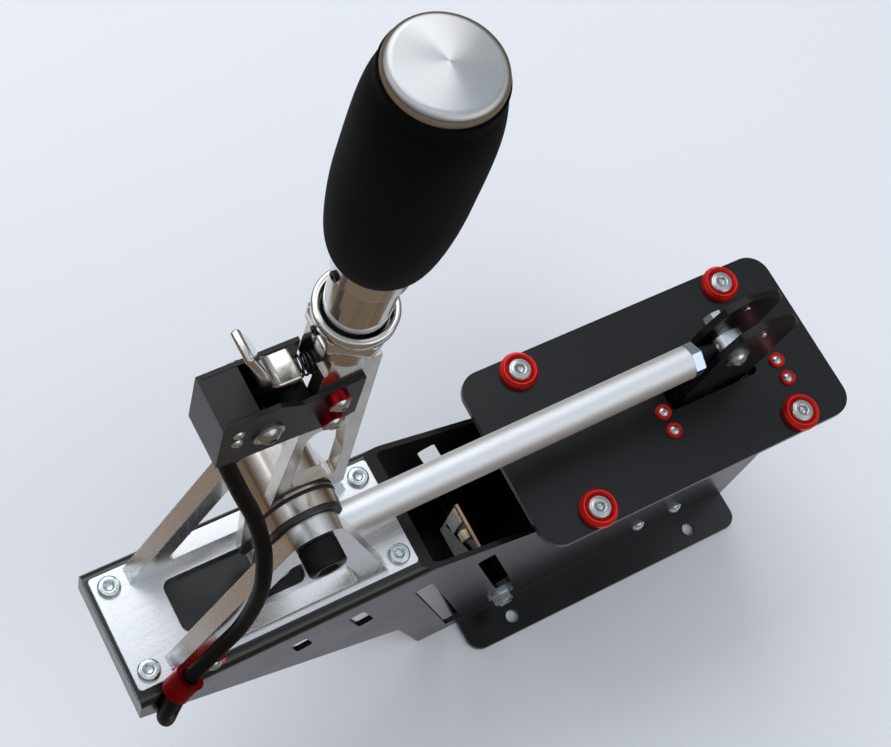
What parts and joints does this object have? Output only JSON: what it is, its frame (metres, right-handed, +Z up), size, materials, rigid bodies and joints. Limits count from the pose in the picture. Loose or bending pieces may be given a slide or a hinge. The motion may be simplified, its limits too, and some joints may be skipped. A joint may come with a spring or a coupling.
{
  "type": "sim racing gear shifter",
  "caption": "Sequential gear shifter for a racing simulator: a knobbed lever on an aluminium tower, tied by a rod to a sprung rocker on a folded steel chassis, with a finger trigger",
  "frame": {"origin": "centre of the four foot holes, on the underside of the feet", "axes": "+X from the tower to the rear plate, +Y to the left side, +Z up"},
  "size_m": [0.427, 0.116, 0.6174],
  "materials": {
    "black_powder_coat": "satin black powder coat on steel sheet",
    "brushed_aluminium": "milled and brushed",
    "plain_steel": "turned, satin",
    "polished_steel": "polished",
    "zinc_screws": "zinc plated",
    "black_oxide": "black oxide on steel",
    "spring_steel": "dark drawn wire",
    "suede_grip": "black suede wrap",
    "red_anodised": "red anodised",
    "black_plastic": "moulded, fine grain",
    "bronze": "sintered bronze",
    "circuit_board": "laminate with a brown edge",
    "black_rubber": "moulded",
    "braided_sleeve": "braided sleeve over the cable"
  },
  "bodies": {
    "chassis": {"chassis": "black_powder_coat", "tower_base": "brushed_aluminium", "tower_side_left": "brushed_aluminium", "tower_side_right": "brushed_aluminium", "base_screws": "zinc_screws", "base_nuts": "zinc_screws", "pivot_bolt": "black_oxide", "pivot_nut": "zinc_screws", "rocker_shaft": "plain_steel", "shaft_spacers": "plain_steel", "shaft_screws": "zinc_screws", "centring_spring_front": "spring_steel", "centring_spring_rear": "spring_steel", "spring_cradle": "plain_steel", "cradle_screws": "zinc_screws", "rear_plate": "black_powder_coat", "cup_washers": "red_anodised", "plate_screws": "zinc_screws", "sensor_blocks": "black_plastic", "sensor_washers": "red_anodised", "sensor_screws": "zinc_screws", "tie_rod": "plain_steel", "board_bracket": "brushed_aluminium", "sensor_board": "circuit_board", "controller_box": "black_plastic", "cable_gland": "black_plastic", "trigger_cable": "braided_sleeve", "cable_clamp": "red_anodised", "clamp_screw": "zinc_screws"},
    "lever": {"lever_bushes": "black_plastic", "lever_arm": "brushed_aluminium", "fork_pin": "plain_steel", "clamp_collar": "brushed_aluminium", "set_screws": "black_oxide", "knob_stem": "plain_steel", "knob_ring": "brushed_aluminium", "knob_grip": "suede_grip", "knob_cap": "brushed_aluminium", "trigger_box": "black_powder_coat", "trigger_cover": "black_powder_coat", "trigger_axle": "zinc_screws", "trigger_spring": "spring_steel", "trigger_washers": "red_anodised", "trigger_screws": "zinc_screws", "trigger_switch": "black_plastic", "cable_grommet": "black_rubber"},
    "trigger": {"trigger": "polished_steel"},
    "rod": {"rod_tube": "plain_steel", "rod_eye_front": "plain_steel", "rod_eye_rear": "plain_steel", "rod_jam_nuts": "zinc_screws"},
    "rocker": {"rocker_ear_left": "black_powder_coat", "rocker_ear_right": "black_powder_coat", "rocker_hub": "plain_steel", "rocker_bushes": "bronze", "rod_bolt": "zinc_screws", "rod_bolt_spacers": "plain_steel", "ear_pins": "plain_steel", "sensor_beam": "plain_steel", "magnets": "plain_steel"}
  },
  "joints": [
    {"name": "lever_pivot", "type": "hinge", "parent": "chassis", "child": "lever", "pos_m": [-0.238, 0, 0.299], "axis": [0, 1, 0], "range_deg": [-6, 6], "stiffness_Nm_per_rad": 60, "deforming": ["trigger_cable"]},
    {"name": "rod_hinge", "type": "hinge", "parent": "lever", "child": "rod", "pos_m": [-0.238, 0, 0.209], "axis": [0, 1, 0], "range_deg": [-6.5, 6.5]},
    {"name": "rocker_pivot", "type": "hinge", "parent": "chassis", "child": "rocker", "pos_m": [0.035, 0, 0.139], "axis": [0, 1, 0], "range_deg": [-7, 7], "deforming": ["centring_spring_front", "centring_spring_rear"]},
    {"name": "trigger_pivot", "type": "hinge", "parent": "lever", "child": "trigger", "pos_m": [-0.2657, 0, 0.4115], "axis": [0, 1, 0], "range_deg": [0, 6], "stiffness_Nm_per_rad": 2, "springref_deg": -2.86, "deforming": ["trigger_spring"]}
  ],
  "couplings": [
    {"joint": "rod_hinge", "follows": "lever_pivot", "ratio": -1},
    {"joint": "rocker_pivot", "follows": "lever_pivot", "ratio": -1.125}
  ]
}
